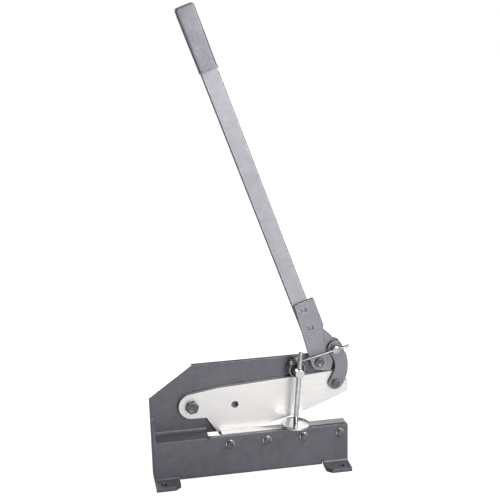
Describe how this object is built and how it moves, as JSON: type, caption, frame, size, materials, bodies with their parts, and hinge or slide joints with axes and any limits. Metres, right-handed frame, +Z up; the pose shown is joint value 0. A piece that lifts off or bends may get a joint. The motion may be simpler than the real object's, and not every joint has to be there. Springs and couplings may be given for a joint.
{
  "type": "hand lever plate shear",
  "caption": "Bench-mounted hand lever plate shear with a joggled plate frame, two blades, linked long lever, return spring and rod hold-down.",
  "frame": {"origin": "middle of the rear foot's flat underside, on the bench", "axes": "+Z up, +X along the blades from the blade pivot to the open end, -Y towards the operator's side with the apron"},
  "size_m": [0.4859, 0.124, 1.1254],
  "materials": {
    "frame_paint": "satin violet-grey enamel",
    "lever_paint": "light violet-grey enamel",
    "grip_rubber": "moulded matt grey",
    "ground_steel": "surface ground",
    "bright_steel": "bright turned and plated",
    "dark_steel": "black oxide",
    "zinc_steel": "zinc plated"
  },
  "bodies": {
    "frame": {"frame_plate": "frame_paint", "lower_blade": "ground_steel", "lower_blade_bolt_1": "dark_steel", "lower_blade_bolt_2": "dark_steel", "lower_blade_bolt_3": "dark_steel", "lower_blade_bolt_4": "dark_steel", "lower_blade_washer_1": "zinc_steel", "lower_blade_washer_2": "zinc_steel", "lower_blade_washer_3": "zinc_steel", "lower_blade_washer_4": "zinc_steel", "blade_pivot_bolt": "dark_steel", "blade_pivot_washer": "zinc_steel", "blade_pivot_nut": "dark_steel", "lever_pivot_bolt": "dark_steel", "lever_pivot_washer": "zinc_steel", "lever_pivot_nut": "dark_steel", "post_sleeve": "dark_steel", "post_washer": "zinc_steel"},
    "blade": {"upper_blade": "ground_steel", "blade_thrust_washer": "zinc_steel"},
    "lever": {"lever_bar": "lever_paint", "lever_grip": "grip_rubber", "cheek_plate": "lever_paint", "cheek_rivet_1": "lever_paint", "cheek_rivet_2": "lever_paint", "ear_plate": "lever_paint", "ear_pin": "bright_steel", "ear_pin_nut": "dark_steel"},
    "links": {"front_link": "lever_paint", "rear_link": "lever_paint", "link_bolt": "dark_steel", "link_washer": "zinc_steel", "link_nut": "dark_steel"},
    "spring": {"return_spring": "bright_steel"},
    "swivel": {"spring_swivel": "bright_steel"},
    "post": {"hold_down_post": "bright_steel", "post_front_nut": "dark_steel", "post_rear_nut": "dark_steel"},
    "hold_down": {"hold_down_rod": "bright_steel", "hold_down_foot": "bright_steel"}
  },
  "joints": [
    {"name": "lever_pivot", "type": "hinge", "parent": "frame", "child": "lever", "pos_m": [0.176, 0, 0.266], "axis": [0, 1, 0], "range_deg": [0, 85]},
    {"name": "blade_pivot", "type": "hinge", "parent": "frame", "child": "blade", "pos_m": [-0.137, 0, 0.1775], "axis": [0, 1, 0], "range_deg": [0, 11.5]},
    {"name": "link_pivot", "type": "hinge", "parent": "lever", "child": "links", "pos_m": [0.21503, 0, 0.29852], "axis": [0, 1, 0], "range_deg": [-82, 0]},
    {"name": "spring_turn", "type": "hinge", "parent": "frame", "child": "spring", "pos_m": [0.119, 0, 0.256], "axis": [0, 1, 0], "range_deg": [0, 40.5]},
    {"name": "swivel_turn", "type": "hinge", "parent": "lever", "child": "swivel", "pos_m": [0.21503, 0, 0.29852], "axis": [0, 1, 0], "range_deg": [-45.5, 0]},
    {"name": "post_swivel", "type": "hinge", "parent": "frame", "child": "post", "pos_m": [0.119, 0, 0.256], "axis": [0, 1, 0], "range_deg": [-9, 2]},
    {"name": "hold_down_slide", "type": "slide", "parent": "post", "child": "hold_down", "axis": [0.0819, 0, 0.9966], "range_m": [-0.006, 0.06]}
  ],
  "couplings": [
    {"joint": "blade_pivot", "follows": "lever_pivot", "ratio": 0.134},
    {"joint": "link_pivot", "follows": "lever_pivot", "ratio": -0.96},
    {"joint": "spring_turn", "follows": "lever_pivot", "ratio": 0.471},
    {"joint": "swivel_turn", "follows": "lever_pivot", "ratio": -0.529}
  ]
}
